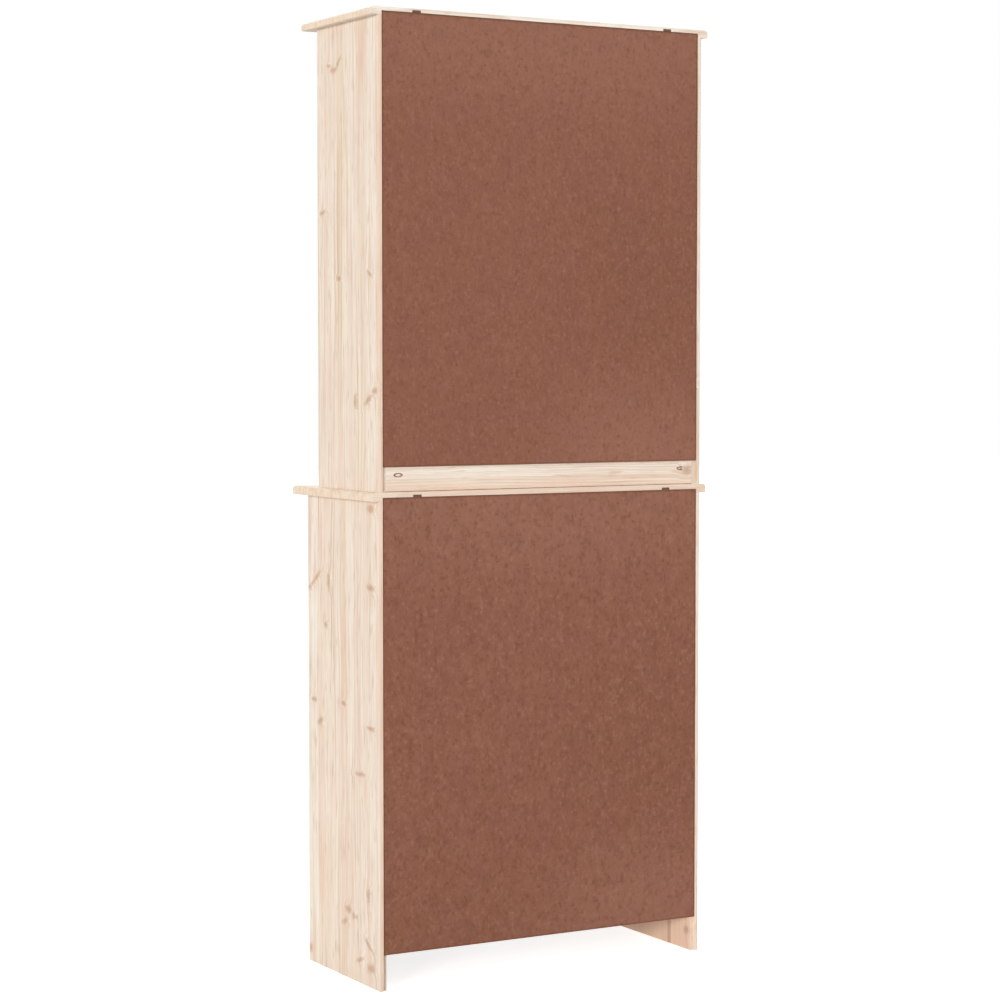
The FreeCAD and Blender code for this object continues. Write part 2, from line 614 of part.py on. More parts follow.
def build():
    """Every node of the highboard by name."""
    dowels, dowel_holes = zip(*[dowel(*place) for place in dowel_places()])
    dowels = both(list(dowels))
    dowel_holes = both(list(dowel_holes))
    pocket, pilot, screw = pocket_screw()

    doors = {
        "upper": left_door(UPPER_FRONT_Y, UPPER_DOOR_LOW, UPPER_DOOR_HIGH,
                           UPPER_DOOR_LOW + UPPER_KNOB_LIFT, UPPER_TOP_UNDER),
        "lower": left_door(LOWER_FRONT_Y, LOWER_DOOR_LOW, LOWER_DOOR_HIGH,
                           LOWER_DOOR_HIGH - LOWER_KNOB_DROP, DECK_UNDER),
    }
    hinges = [each for pieces, fitted in doors.values() for each in fitted]
    hinge_holes = [hole for each in hinges for hole in each["frame_holes"]]
    hinge_screws = [fixed for each in hinges for fixed in each["frame_screws"]]

    upper_shelves = shelf_places(UPPER_FLOOR, UPPER_TOP_UNDER, UPPER_SHELVES)
    lower_shelves = shelf_places(LOWER_FLOOR, DECK_UNDER, LOWER_SHELVES)
    rests = [(UPPER_FRONT_Y, z) for z in upper_shelves] + [(LOWER_FRONT_Y, z) for z in lower_shelves]
    pins = []
    pin_holes = []
    for front, under in rests:
        some_pins, some_holes = left_shelf_pins(front, under)
        pins += some_pins
        pin_holes += some_holes

    top_row = TOP_REBATE_HEIGHT / 2
    nails = [nail(x, z) for x, z in nail_places(FOOT_HEIGHT, LOWER_TOP_UNDER, (
        FOOT_HEIGHT + BOARD / 2, DECK_UNDER + BOARD / 2, LOWER_TOP_UNDER + top_row))]
    nails += [nail(x, z) for x, z in nail_places(UPPER_BOTTOM_UNDER, UPPER_TOP_UNDER, (
        UPPER_BOTTOM_UNDER + BOARD / 2, UPPER_TOP_UNDER + top_row))]

    board_holes = dowel_holes + nails
    side_holes = board_holes + hinge_holes + pin_holes + [pilot]
    lower_side = left_side(LOWER_FRONT_Y, 0, LOWER_TOP_UNDER, side_holes)
    upper_side = left_side(UPPER_FRONT_Y, LOWER_HEIGHT, UPPER_TOP_UNDER, side_holes)
    drawer_pieces, runners = drawer()
    plinth = rail_board(LOWER_FRONT_Y, PLINTH_FLOOR_GAP, FOOT_HEIGHT)
    front_rail = rail_board(UPPER_FRONT_Y, UPPER_RAIL_UNDER, UPPER_BOTTOM_UNDER)
    back_rail = rail_board(SEAT_Y - BOARD, UPPER_RAIL_UNDER, UPPER_BOTTOM_UNDER)
    back_rail = rounded(back_rail, BOARD_EASE, {"y": SEAT_Y, "z": UPPER_RAIL_UNDER},
                        {"x": -INNER_X, "y": SEAT_Y}, {"x": INNER_X, "y": SEAT_Y})
    lower_top_front = LOWER_FRONT_Y - LOWER_TOP_OVERHANG
    upper_top_front = UPPER_FRONT_Y - UPPER_TOP_OVERHANG
    wedges = [left_wedge(LOWER_TOP_UNDER), left_wedge(UPPER_TOP_UNDER)]

    nodes = {
        "lower_left_side": lower_side,
        "lower_right_side": mirrored(lower_side),
        "lower_bottom": cross_board(LOWER_FRONT_Y, FOOT_HEIGHT, board_holes),
        "drawer_deck": cross_board(LOWER_FRONT_Y, DECK_UNDER, board_holes),
        "lower_top": top_board(lower_top_front, LOWER_TOP_UNDER, LOWER_TOP_BOARD, board_holes),
        "plinth_rail": drilled(plinth, dowel_holes),
        "lower_back_panel": back_panel(FOOT_HEIGHT, LOWER_TOP_UNDER, nails),
        "upper_left_side": upper_side,
        "upper_right_side": mirrored(upper_side),
        "upper_bottom": cross_board(UPPER_FRONT_Y, UPPER_BOTTOM_UNDER, board_holes),
        "upper_top": top_board(upper_top_front, UPPER_TOP_UNDER, UPPER_TOP_BOARD, board_holes),
        "upper_front_rail": drilled(front_rail, dowel_holes),
        "upper_back_rail": drilled(back_rail, both([pocket, pilot])),
        "upper_back_panel": back_panel(UPPER_BOTTOM_UNDER, UPPER_TOP_UNDER, nails),
        "shelf_pins": Part.makeCompound(both(pins)),
        "back_panel_wedges": Part.makeCompound(both(wedges)),
        "back_panel_nails": Part.makeCompound(nails),
        "carcass_dowels": Part.makeCompound(dowels),
        "carcass_screws": Part.makeCompound(both([screw] + hinge_screws)),
        "hinge_frame_leaves": Part.makeCompound(both([each["frame_leaf"] for each in hinges])),
        "hinge_pins": Part.makeCompound(both([each["pin"] for each in hinges])),
        "magnetic_catches": Part.makeCompound([catch(UPPER_FRONT_Y, UPPER_TOP_UNDER),
                                               catch(LOWER_FRONT_Y, DECK_UNDER)]),
        "drawer_runners": Part.makeCompound(runners),
    }
    for n, under in enumerate(upper_shelves, 1):
        nodes[f"upper_shelf_{n}"] = shelf(UPPER_FRONT_Y, under)
    for n, under in enumerate(lower_shelves, 1):
        nodes[f"lower_shelf_{n}"] = shelf(LOWER_FRONT_Y, under)
    for cabinet, (pieces, fitted) in doors.items():
        for name, shape in pieces.items():
            nodes[f"{cabinet}_left_door_{name}"] = shape
            nodes[f"{cabinet}_right_door_{name}"] = mirrored(shape)
    for name, shape in drawer_pieces.items():
        nodes[f"drawer_{name}"] = shape
    return nodes


def main():
    os.makedirs("parts", exist_ok=True)
    for name, shape in build().items():
        shape.exportStep(f"parts/{name}.step")


main()
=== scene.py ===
import math
import random

import bpy
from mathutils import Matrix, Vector


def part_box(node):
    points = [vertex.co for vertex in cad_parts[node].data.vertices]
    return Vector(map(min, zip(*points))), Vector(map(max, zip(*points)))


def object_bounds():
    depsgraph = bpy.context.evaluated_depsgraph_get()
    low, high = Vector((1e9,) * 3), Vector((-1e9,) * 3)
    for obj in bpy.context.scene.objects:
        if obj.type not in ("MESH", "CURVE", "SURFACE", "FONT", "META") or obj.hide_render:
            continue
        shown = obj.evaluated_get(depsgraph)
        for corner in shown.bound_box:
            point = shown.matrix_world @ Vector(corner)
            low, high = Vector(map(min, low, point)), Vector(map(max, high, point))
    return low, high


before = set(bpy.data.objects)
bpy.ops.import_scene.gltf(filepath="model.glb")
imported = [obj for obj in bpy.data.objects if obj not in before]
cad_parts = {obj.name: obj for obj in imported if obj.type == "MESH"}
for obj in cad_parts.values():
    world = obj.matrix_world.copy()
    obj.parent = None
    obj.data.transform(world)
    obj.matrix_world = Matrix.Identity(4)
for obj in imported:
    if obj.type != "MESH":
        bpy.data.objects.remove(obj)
CAD_LOW, CAD_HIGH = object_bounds()

# A pine highboard seen from behind. Metres, +Z up, the doors face -Y, the hardboard backs face +Y.

X, Y, Z = range(3)
WHITE = (1.0, 1.0, 1.0, 1.0)

# Camera: its place in metres, its turns in degrees, its lens and sensor in millimetres
CAMERA_TO_SIDE = 2.599
CAMERA_BEHIND_BACK = 4.3875
CAMERA_HEIGHT = 1.2013
CAMERA_YAW = 29.65
CAMERA_PITCH = 3.04
LENS = 93.91
SENSOR = 36.0

# Light: direction towards each lamp, its width in degrees and its strength
LAMPS = {
    "key": ((0.786, 0.617, 0.17), 16.0, 2.15),
    "front_key": ((-0.45, -0.85, 0.62), 50.0, 1.60),
    "left_fill": ((-0.80, 0.45, 0.35), 50.0, 0.75),
}
WORLD_LIGHT = 0.45
BACKDROP_LIGHT = 1.0
FLOOR_SIZE = 40.0
FLOOR_DROP = 0.0004
FLOOR_GLOW = 0.80
FLOOR_ALBEDO = 0.66

# Staves of the boards that the camera sees, as width and paleness: a side's from its front edge back, the
# rail's from its lower edge up
SEEN_STAVES = {
    "upper_right_side": [(0.087, 0.66), (0.020, 0.02), (0.065, 0.62), (0.040, 0.30), (0.038, 0.90),
                         (0.014, 0.45)],
    "lower_right_side": [(0.043, 0.88), (0.037, 0.30), (0.068, 0.55), (0.024, 0.0), (0.032, 0.80),
                         (0.026, 0.52), (0.036, 0.45), (0.048, 0.72)],
    "lower_left_side": [(0.064, 0.30), (0.060, 0.15), (0.075, 0.25), (0.025, 0.0), (0.060, 0.55),
                        (0.020, 0.05), (0.010, 1.0)],
    "upper_back_rail": [(0.023, 0.12), (0.0245, 0.95)],
}

# Knots of the same boards: place across the staves, place along the grain, half width, half height and
# lean in degrees
SEEN_KNOTS = {
    "upper_right_side": [
        (0.073, 0.810, 0.0110, 0.0050, 0), (0.094, 0.822, 0.0120, 0.0025, 45),
        (0.052, 0.820, 0.0065, 0.0030, -10), (0.024, 0.538, 0.0095, 0.0036, 8),
        (0.095, 0.408, 0.0075, 0.0032, 0), (0.162, 0.172, 0.0042, 0.0110, 0),
        (0.221, 0.175, 0.0150, 0.0042, 30), (0.247, 0.192, 0.0100, 0.0050, 10),
        (0.225, 0.413, 0.0080, 0.0026, -30),
    ],
    "lower_right_side": [
        (0.036, 0.772, 0.0220, 0.0040, 35), (0.010, 0.753, 0.0070, 0.0050, 0),
        (0.094, 0.770, 0.0058, 0.0125, 0), (0.080, 0.683, 0.0060, 0.0048, 0),
        (0.028, 0.530, 0.0100, 0.0036, 0), (0.056, 0.490, 0.0110, 0.0048, 25),
        (0.160, 0.536, 0.0090, 0.0040, 0), (0.275, 0.500, 0.0120, 0.0036, -5),
        (0.231, 0.407, 0.0170, 0.0036, 0), (0.277, 0.770, 0.0130, 0.0048, -5),
        (0.277, 0.921, 0.0120, 0.0068, 0), (0.178, 0.135, 0.0110, 0.0058, -5),
        (0.201, 0.126, 0.0062, 0.0058, 0), (0.162, 0.110, 0.0100, 0.0045, 25),
        (0.265, 0.176, 0.0060, 0.0125, 0), (0.266, 0.080, 0.0160, 0.0038, -35),
        (0.228, 0.045, 0.0120, 0.0038, 20), (0.275, 0.037, 0.0130, 0.0068, 10),
        (0.007, 0.026, 0.0060, 0.0068, 0),
    ],
    "lower_left_side": [
        (0.295, 0.039, 0.0080, 0.0070, 20), (0.120, 0.260, 0.0080, 0.0060, 10),
        (0.215, 0.520, 0.0070, 0.0050, -15), (0.060, 0.700, 0.0090, 0.0055, 0),
        (0.170, 0.850, 0.0060, 0.0045, 20),
    ],
    "upper_back_rail": [(0.027, 0.012, 0.0085, 0.0085, 0)],
}

# Long pink stains of the same boards, given in the same way; one on the rail is a painted shade line along
# its lower edge
SEEN_STAINS_AND_SEAM_SHADE = {
    "upper_right_side": [
        (0.061, 0.765, 0.0032, 0.0260, 0), (0.038, 0.508, 0.0030, 0.0270, 25),
        (0.040, 0.700, 0.0040, 0.0600, 4), (0.205, 0.675, 0.0060, 0.0140, 0),
        (0.178, 0.667, 0.0050, 0.0140, 0), (0.192, 0.830, 0.0170, 0.0900, 0),
        (0.098, 0.600, 0.0080, 0.1500, 0), (0.257, 0.330, 0.0050, 0.0900, 0),
        (0.199, 0.455, 0.0075, 0.0170, 0),
    ],
    "lower_right_side": [
        (0.197, 0.188, 0.0040, 0.0320, 0), (0.154, 0.035, 0.0110, 0.0420, 0),
        (0.048, 0.278, 0.0045, 0.0140, 0), (0.062, 0.190, 0.0160, 0.1100, 0),
        (0.309, 0.640, 0.0030, 0.0600, 0), (0.252, 0.370, 0.0060, 0.0340, 0),
        (0.222, 0.438, 0.0030, 0.0310, 14), (0.158, 0.640, 0.0090, 0.1300, 0),
        (0.060, 0.860, 0.0100, 0.0600, 0),
    ],
    "lower_left_side": [(0.212, 0.030, 0.0110, 0.1500, 0), (0.130, 0.020, 0.0600, 0.1400, 0)],
    "upper_back_rail": [
        (0.009, 0.300, 0.0040, 0.1000, 0), (0.006, 0.560, 0.0030, 0.1100, 0),
        # At across 0.000, along the lower edge: a painted shade line where the rail meets the lower top
        (0.016, 0.120, 0.0035, 0.0900, 0), (0.000, 0.348, 0.0026, 0.6000, 0),
        (0.046, 0.050, 0.0030, 0.1200, 0), (0.010, 0.405, 0.0045, 0.0120, 0),
        (0.040, 0.008, 0.0120, 0.0100, 0),
    ],
}

# Painted shade in dark brown rims round the mouths of the two slanting holes in the rail, given in the same
# way
POCKET_RIM_SHADE = {
    "upper_back_rail": [(0.0314, 0.027, 0.0038, 0.0093, 0), (0.0314, 0.669, 0.0038, 0.0093, 0)],
}

# Dark heartwood along one side, and painted shade in the rebate corner at the foot of the side above it,
# given in the same way
HEARTWOOD_AND_SHADE_STREAKS = {
    "lower_left_side": [(0.231, 0.30, 0.0085, 0.60, 0)],
    # Painted shade in the rebate corner beside the rail's end
    "upper_left_side": [(0.2617, 0.024, 0.0022, 0.026, 0)],
}

# Paleness of the stave along the back edge of other boards that the camera sees
BACK_STAVE_PALENESS = {"upper_left_side": 1.0, "upper_top": 1.0, "lower_top": 0.30}

# Boards whose long edges are tanner than their faces, with the share of tan; their rounded arrises also get
# painted shade
TAN_EDGES_AND_ARRIS_SHADE = {
    "upper_right_side": 0.42,
    "lower_right_side": 0.42,
    "lower_top": 0.26,
    "upper_left_side": 0.12,
    "lower_left_side": 0.35,
}

# Feet whose face towards +X, in the gap under the cabinet, is painted redder with warm bounce light, with
# the share of red, and the heights where that ends
PAINTED_BOUNCE_FEET = {"lower_left_side": 0.64}
PAINTED_BOUNCE_END = (0.070, 0.110)

# Staves and knots of every other board
STAVE_WIDTHS = (0.036, 0.068)
STAVE_PALENESS = (0.15, 0.9)
KNOTS_PER_SQUARE_METRE = 40.0
KNOT_COUNT_SPREAD = (0.5, 1.4)
KNOT_RADII = (0.0030, 0.0085)
KNOT_WIDTHS_IN_RADII = (0.9, 1.3)
KNOT_HEIGHTS_IN_RADII = (0.65, 1.0)
KNOT_LEAN = 35
KNOT_EDGE_MARGIN = 0.012
KNOT_EDGE_SHARE = 1 / 3
KNOT_END_MARGIN = 0.030
CLEAR_WOOD = ("knob", "dowels", "runners")

# The stain above and below a knot: its width and height in those of the knot, and how many times less it
# leans
KNOT_STAIN_WIDTH = 0.6
KNOT_STAIN_HEIGHT = 7.0
KNOT_STAIN_LEAN = 6

# Distance, in half widths, to the nearest mark of a board that has none
NO_MARK = 9.0


def srgb(red, green, blue):
    """A colour as it shows on a screen, 0 to 255, in linear light."""
    def linear(value):
        share = value / 255
        return share / 12.92 if share <= 0.04045 else ((share + 0.055) / 1.055) ** 2.4
    return (linear(red), linear(green), linear(blue), 1.0)


# Tones of pine
PALE_WOOD = srgb(244, 234, 221)
TAN_WOOD = srgb(233, 212, 191)
PINK_WOOD = srgb(233, 207, 192)
STRAW_WOOD = srgb(236, 222, 198)
LATE_WOOD = srgb(207, 180, 155)
RESIN_LINE = srgb(188, 158, 134)
KNOT_HEART = srgb(212, 178, 156)
KNOT_OLIVE = srgb(200, 168, 132)
KNOT_RING = srgb(178, 136, 108)
# Pink of stains, also used for a painted shade line along the rail's lower edge
STAIN_AND_SEAM_SHADE_TONE = srgb(226, 190, 166)
# Tan of long edges, also used for painted shade on rounded arrises
EDGE_TONE_AND_ARRIS_SHADE = srgb(222, 190, 166)
# Painted warm bounce light on a foot's face inside the gap under the cabinet
PAINTED_BOUNCE_TONE = srgb(245, 202, 174)
# Dark heartwood, also used for painted shade in a rebate corner
HEARTWOOD_AND_SHADE_TONE = srgb(202, 162, 136)
# Dark brown of the painted shade round the mouths of holes
RIM_SHADE_TONE = srgb(146, 104, 82)
END_GRAIN = srgb(240, 223, 203)
END_GRAIN_DARK = srgb(226, 199, 170)

# Noise over a pine board: waves per metre across, along and through it, octaves and roughness
BOARD_NOISE = {
    "drift": ((9.0, 2.6, 9.0), 2.0, 0.5),
    "swell": ((3.0, 2.4, 3.0), 1.0, 0.5),
    "ripple": ((70.0, 9.0, 70.0), 2.0, 0.5),
    "patch": ((26.0, 7.0, 26.0), 3.0, 0.6),
    "mottle": ((90.0, 90.0, 50.0), 3.0, 0.6),
}
CROOK_NOISE = ((130.0, 90.0, 130.0), 2.0, 0.5)

# Noise that follows the drifting grain, given in the same way
GRAIN_NOISE = {
    "broad": ((42.0, 0.9, 42.0), 2.0, 0.5),
    "streak": ((120.0, 1.6, 120.0), 3.0, 0.6),
    "fine": ((330.0, 5.0, 330.0), 2.0, 0.6),
    "dash": ((150.0, 20.0, 150.0), 1.0, 0.5),
    "line": ((240.0, 3.5, 240.0), 1.0, 0.5),
    "fibre": ((1500.0, 26.0, 1500.0), 2.0, 0.6),
    "blush": ((18.0, 2.6, 18.0), 2.0, 0.5),
    "fleck": ((80.0, 14.0, 80.0), 3.0, 0.6),
}

# Every board and sheet takes its noise from its own place within so many metres
NOISE_ROOM = 40.0

# What noise swings about
NOISE_MIDDLE = 0.5

# How far the grain drifts, how far it bends aside at a knot, and how far the outlines of marks wander
GRAIN_DRIFT = 0.024
KNOT_BEND = 0.010
CROOK = (0.010, 0.008, 0.0)
FLAT = (1.0, 1.0, 0.0)

# Growth rings: how far staves lie from the pith, how the rings swell and ripple, and their widths
PITH_SIDEWAYS = 0.22
PITH_DEPTH = 0.045
RING_SWELL = 0.040
RING_RIPPLE = 0.6
RING_WIDTH = 0.0028
RING_WIDTH_SPREAD = 0.0040

# Fades: two values of what is measured, and what comes out at both. Distances from a mark are in half
# widths, places in a growth ring in ring widths, and a face's turn is one part of its direction. The two
# fades without a result take it from the tables above.
KNOT_BEND_FADE = (0.7, 3.6, KNOT_BEND, 0.0)
LATE_RISE = (0.25, 0.88, 0.0, 1.0)
LATE_FALL = (0.90, 1.0, 1.0, 0.0)
RING_PATCHES = (0.30, 0.70, 0.10, 0.45)
HEARTWOOD_AND_SHADE_FADE = (0.7, 1.1, 0.80, 0.0)
STAIN_AND_SEAM_SHADE_FADE = (0.3, 1.3, 0.65, 0.0)
STAIN_AND_SEAM_SHADE_GRAIN = (0.30, 0.60, 0.3, 1.0)
OLIVE_PATCHES = (0.42, 0.58, 0.0, 1.0)
RIM_SHADE_INNER = (0.40, 0.75, 0.0, 1.0)
RIM_SHADE_OUTER = (0.95, 1.25, 0.90, 0.0)
ARRIS_SHADE_TURN = (0.12, 0.42, 0.0, 0.65)
END_TURN = (0.6, 0.9, 0.0, 0.9)
END_MOTTLE = (0.35, 0.70, 0.0, 1.0)
EDGE_TURN = (0.15, 0.6)
PAINTED_BOUNCE_TURN = (0.6, 0.9)
PINE_ROUGHNESS = (0.3, 0.8, 0.54, 0.68)

# Shares of late wood in the colour of sawn ends and in the relief, depth and strength of the relief, gloss
END_RING_SHARE = 0.45
LATE_RELIEF = 0.5
PINE_RELIEF = (0.00012, 0.35)
PINE_GLOSS = 0.35

# Layers of colour over pine, lowest first: what is measured, its fade, and the colour. The growth rings lie
# between the two lists.
GRAIN_LAYERS = [
    ("broad", (0.46, 0.72, 0.0, 0.75), STRAW_WOOD),
    ("blush", (0.45, 0.72, 0.0, 0.70), PINK_WOOD),
    ("streak", (0.30, 0.48, 0.80, 0.0), PALE_WOOD),
    ("streak", (0.50, 0.74, 0.0, 0.72), LATE_WOOD),
    ("fleck", (0.50, 0.72, 0.0, 0.60), PINK_WOOD),
    ("fleck", (0.28, 0.46, 0.60, 0.0), STRAW_WOOD),
    ("dash", (0.58, 0.76, 0.0, 0.60), LATE_WOOD),
    ("line", (0.64, 0.78, 0.0, 0.75), RESIN_LINE),
]
FIBRE_LAYERS = [
    ("fine", (0.46, 0.74, 0.0, 0.42), LATE_WOOD),
    ("fibre", (0.45, 0.75, 0.0, 0.14), LATE_WOOD),
]

# A knot from its middle out to its reach: distance in half widths, paleness and share
KNOT_REACH = 2.0
KNOT_ZONES = [
    (0.00, 0.9, 0.80),
    (0.40, 0.3, 0.85),
    (0.64, 1.0, 0.75),
    (0.90, 0.2, 0.60),
    (1.20, 1.0, 0.40),
    (2.00, 1.0, 0.00),
]

# Tones of hardboard; the pale and dark tones also paint light and shade on it
HARDBOARD = srgb(135, 87, 69)
HARDBOARD_OLIVE = srgb(136, 89, 68)
HARDBOARD_DARK_AND_PAINTED_SHADE = srgb(109, 64, 46)
HARDBOARD_PALE_AND_PAINTED_LIGHT = srgb(159, 113, 94)

# Noise over a hardboard sheet: waves per metre along X, Y and Z, octaves and roughness
HARDBOARD_NOISE = {
    "haze": ((16.0, 16.0, 9.0), 3.0, 0.6),
    "blotches": ((62.0, 62.0, 44.0), 3.0, 0.6),
    "bundles": ((150.0, 150.0, 120.0), 2.0, 0.55),
    "grit": ((620.0, 620.0, 620.0), 3.0, 0.65),
}

# Broad patches of painted light and shade on a hardboard sheet: middle, half width and half height, in
# shares of its width and height
HARDBOARD_LIGHT_AND_SHADE_PATCHES = {
    "painted_light_patches": [(0.50, 1.02, 1.10, 0.26), (0.16, 0.00, 0.42, 0.24)],
    "painted_shade_patch": [(0.12, 0.42, 0.42, 0.32)],
}

# Layers of colour over hardboard, given as those of pine. The edge shade, painted shade along the sheet's
# edges, is measured in metres from its edges.
HARDBOARD_LAYERS = [
    ("haze", (0.38, 0.62, 0.0, 1.0), HARDBOARD_OLIVE),
    ("painted_light_patches", (0.2, 1.2, 0.34, 0.0), HARDBOARD_PALE_AND_PAINTED_LIGHT),
    ("painted_shade_patch", (0.2, 1.2, 0.20, 0.0), HARDBOARD_DARK_AND_PAINTED_SHADE),
    ("blotches", (0.28, 0.50, 0.30, 0.0), HARDBOARD_DARK_AND_PAINTED_SHADE),
    ("blotches", (0.50, 0.74, 0.0, 0.26), HARDBOARD_PALE_AND_PAINTED_LIGHT),
    ("bundles", (0.26, 0.46, 0.56, 0.0), HARDBOARD_DARK_AND_PAINTED_SHADE),
    ("bundles", (0.55, 0.76, 0.0, 0.62), HARDBOARD_PALE_AND_PAINTED_LIGHT),
    ("grit", (0.30, 0.50, 0.34, 0.0), HARDBOARD_DARK_AND_PAINTED_SHADE),
    ("grit", (0.52, 0.75, 0.0, 0.30), HARDBOARD_PALE_AND_PAINTED_LIGHT),
    ("edge_shade", (0.0008, 0.0045, 0.55, 0.0), HARDBOARD_DARK_AND_PAINTED_SHADE),
]
HARDBOARD_ROUGHNESS = (0.3, 0.7, 0.66, 0.80)
HARDBOARD_RELIEF = (0.00015, 0.4)
HARDBOARD_GLOSS = 0.2

# Steel: pale tone, dark tone and roughness
STEELS = {
    "zinc_steel": (srgb(196, 196, 192), srgb(160, 160, 158), 0.34),
    "brown_nail": (srgb(150, 103, 82), srgb(128, 86, 68), 0.55),
    "pale_zinc": (srgb(238, 236, 230), srgb(218, 215, 208), 0.62),
}
STEEL_NOISE = ((260.0, 260.0, 260.0), 3.0, 0.6)
STEEL_CLOUDS = (0.3, 0.7)
STEEL_SMOOTHER = 0.08
STEEL_ROUGHER = 0.1
STEEL_RELIEF = (0.00005, 0.2)

# Plastic
PLASTIC_DARK = srgb(88, 52, 36)
PLASTIC_PALE = srgb(114, 72, 52)
PLASTIC_NOISE = ((900.0, 900.0, 900.0), 2.0, 0.5)
PLASTIC_ROUGHNESS = 0.5
PLASTIC_RELIEF = (0.00006, 0.3)

# Fittings that don't have the finish of their slot
OWN_FITTINGS = {"back_panel_nails": "brown_nail", "carcass_screws": "pale_zinc"}


class Graph:
    """The node tree of a material or of the world, written as formulas over its sockets."""

    def __init__(self, owner):
        owner.use_nodes = True
        self.owner = owner
        self.tree = owner.node_tree
        self.tree.nodes.clear()

    def add(self, kind, inputs=None, **settings):
        node = self.tree.nodes.new(kind)
        for key, value in settings.items():
            setattr(node, key, value)
        for key, value in (inputs or {}).items():
            self.feed(node.inputs[key], value)
        return node

    def feed(self, socket, value):
        if isinstance(value, bpy.types.NodeSocket):
            self.tree.links.new(value, socket)
        else:
            socket.default_value = value

    def math(self, operation, *values):
        return self.add("ShaderNodeMath", dict(enumerate(values)), operation=operation).outputs[0]

    def vector(self, operation, *values):
        node = self.add("ShaderNodeVectorMath", dict(enumerate(values)), operation=operation)
        return node.outputs["Value" if operation == "LENGTH" else "Vector"]

    def split(self, vector):
        return self.add("ShaderNodeSeparateXYZ", {0: vector}).outputs

    def join(self, *parts):
        return self.add("ShaderNodeCombineXYZ", dict(enumerate(parts))).outputs[0]

    def fade(self, value, start, end, at_start, at_end):
        """A smooth step from one value to another between start and end."""
        node = self.add("ShaderNodeMapRange", {
            "Value": value, "From Min": start, "From Max": end, "To Min": at_start, "To Max": at_end,
        }, interpolation_type="SMOOTHSTEP")
        return node.outputs["Result"]

    def noise(self, place, stretch, octaves, roughness, kind="Fac"):
        """Noise between 0 and 1 with so many waves per metre each way."""
        scaled = self.vector("MULTIPLY", place, stretch)
        node = self.add("ShaderNodeTexNoise", {
            "Vector": scaled, "Scale": 1.0, "Detail": octaves, "Roughness": roughness,
        })
        return node.outputs[kind]

    def noises(self, place, table):
        return {name: self.noise(place, *values) for name, values in table.items()}

    def mix(self, factor, first, second):
        node = self.add("ShaderNodeMix", {0: factor, 6: first, 7: second}, data_type="RGBA")
        return node.outputs[2]

    def layers(self, colour, measures, table):
        """A colour with the layers of a table over it."""
        for measure, fade, tone in table:
            colour = self.mix(self.fade(measures[measure], *fade), colour, tone)
        return colour

    def ramp(self, factor, stops, interpolation="LINEAR"):
        """A colour ramp with stops of place and colour. Returns its colour and alpha."""
        node = self.add("ShaderNodeValToRGB", {"Fac": factor})
        elements = node.color_ramp.elements
        node.color_ramp.interpolation = interpolation
        while len(elements) < len(stops):
            elements.new(1.0)
        for element, (place, colour) in zip(elements, stops):
            element.position = place
            element.color = colour
        return node.outputs["Color"], node.outputs["Alpha"]

    def bump(self, height, distance, strength):
        node = self.add("ShaderNodeBump", {"Height": height, "Distance": distance, "Strength": strength})
        return node.outputs["Normal"]

    def surface(self, **inputs):
        """The material's one shader, with the given inputs."""
        named = {key.replace("_", " "): value for key, value in inputs.items()}
        shader = self.add("ShaderNodeBsdfPrincipled", named)
        self.output(shader.outputs["BSDF"])

    def output(self, shader, kind="ShaderNodeOutputMaterial"):
        self.add(kind, {"Surface": shader})


def random_place(chooser):
    """Where a board or sheet takes its noise from."""
    return tuple(chooser.uniform(0, NOISE_ROOM) for axis in range(3))


class Board(Graph):
    """The node tree of a pine board. Places and directions are split into across, along and through it."""

    def __init__(self, name, grain, across, chooser):
        super().__init__(bpy.data.materials.new(f"pine_{name}"))
        low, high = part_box(name)
        axes = (across, grain, X + Y + Z - across - grain)
        source = self.add("ShaderNodeTexCoord").outputs
        place = self.split(self.vector("SUBTRACT", source["Object"], low))
        way = self.split(source["Normal"])
        self.name = name
        self.width = high[across] - low[across]
        self.across, self.along, self.through = [place[axis] for axis in axes]
        self.way_across, self.way_along, self.way_through = [way[axis] for axis in axes]
        self.place = self.join(self.across, self.along, self.through)
        self.flat = self.vector("MULTIPLY", self.place, FLAT)
        self.own = self.vector("ADD", self.place, random_place(chooser))
        self.measures = self.noises(self.own, BOARD_NOISE)

    def swing(self, measure):
        """A noise as a swing about zero."""
        return self.math("SUBTRACT", self.measures[measure], NOISE_MIDDLE)


def random_staves(total, chooser):
    """Widths and palenesses of staves that fill a board of the given width."""
    widths = []
    while sum(widths) < total - STAVE_WIDTHS[0] / 2:
        widths.append(chooser.uniform(*STAVE_WIDTHS))
    share = total / sum(widths)
    return [(width * share, chooser.uniform(*STAVE_PALENESS)) for width in widths]


def random_knot(width, length, chooser):
    """A knot, more often small than large, clear of the edges and ends of its board."""
    edge = min(KNOT_EDGE_MARGIN, width * KNOT_EDGE_SHARE)
    least, most = KNOT_RADII
    radius = least + (most - least) * chooser.random() ** 2
    across = chooser.uniform(edge, width - edge)
    along = chooser.uniform(KNOT_END_MARGIN, length - KNOT_END_MARGIN)
    half_width = radius * chooser.uniform(*KNOT_WIDTHS_IN_RADII)
    half_height = radius * chooser.uniform(*KNOT_HEIGHTS_IN_RADII)
    return across, along, half_width, half_height, chooser.uniform(-KNOT_LEAN, KNOT_LEAN)


def random_knots(width, length, chooser):
    """Knots spread over a board."""
    count = round(KNOTS_PER_SQUARE_METRE * width * length * chooser.uniform(*KNOT_COUNT_SPREAD))
    return [random_knot(width, length, chooser) for number in range(count)]


def knot_stains(knots):
    """The long stains that the grain draws above and below knots."""
    return [(across, along, half_width * KNOT_STAIN_WIDTH, half_height * KNOT_STAIN_HEIGHT,
             lean / KNOT_STAIN_LEAN) for across, along, half_width, half_height, lean in knots]


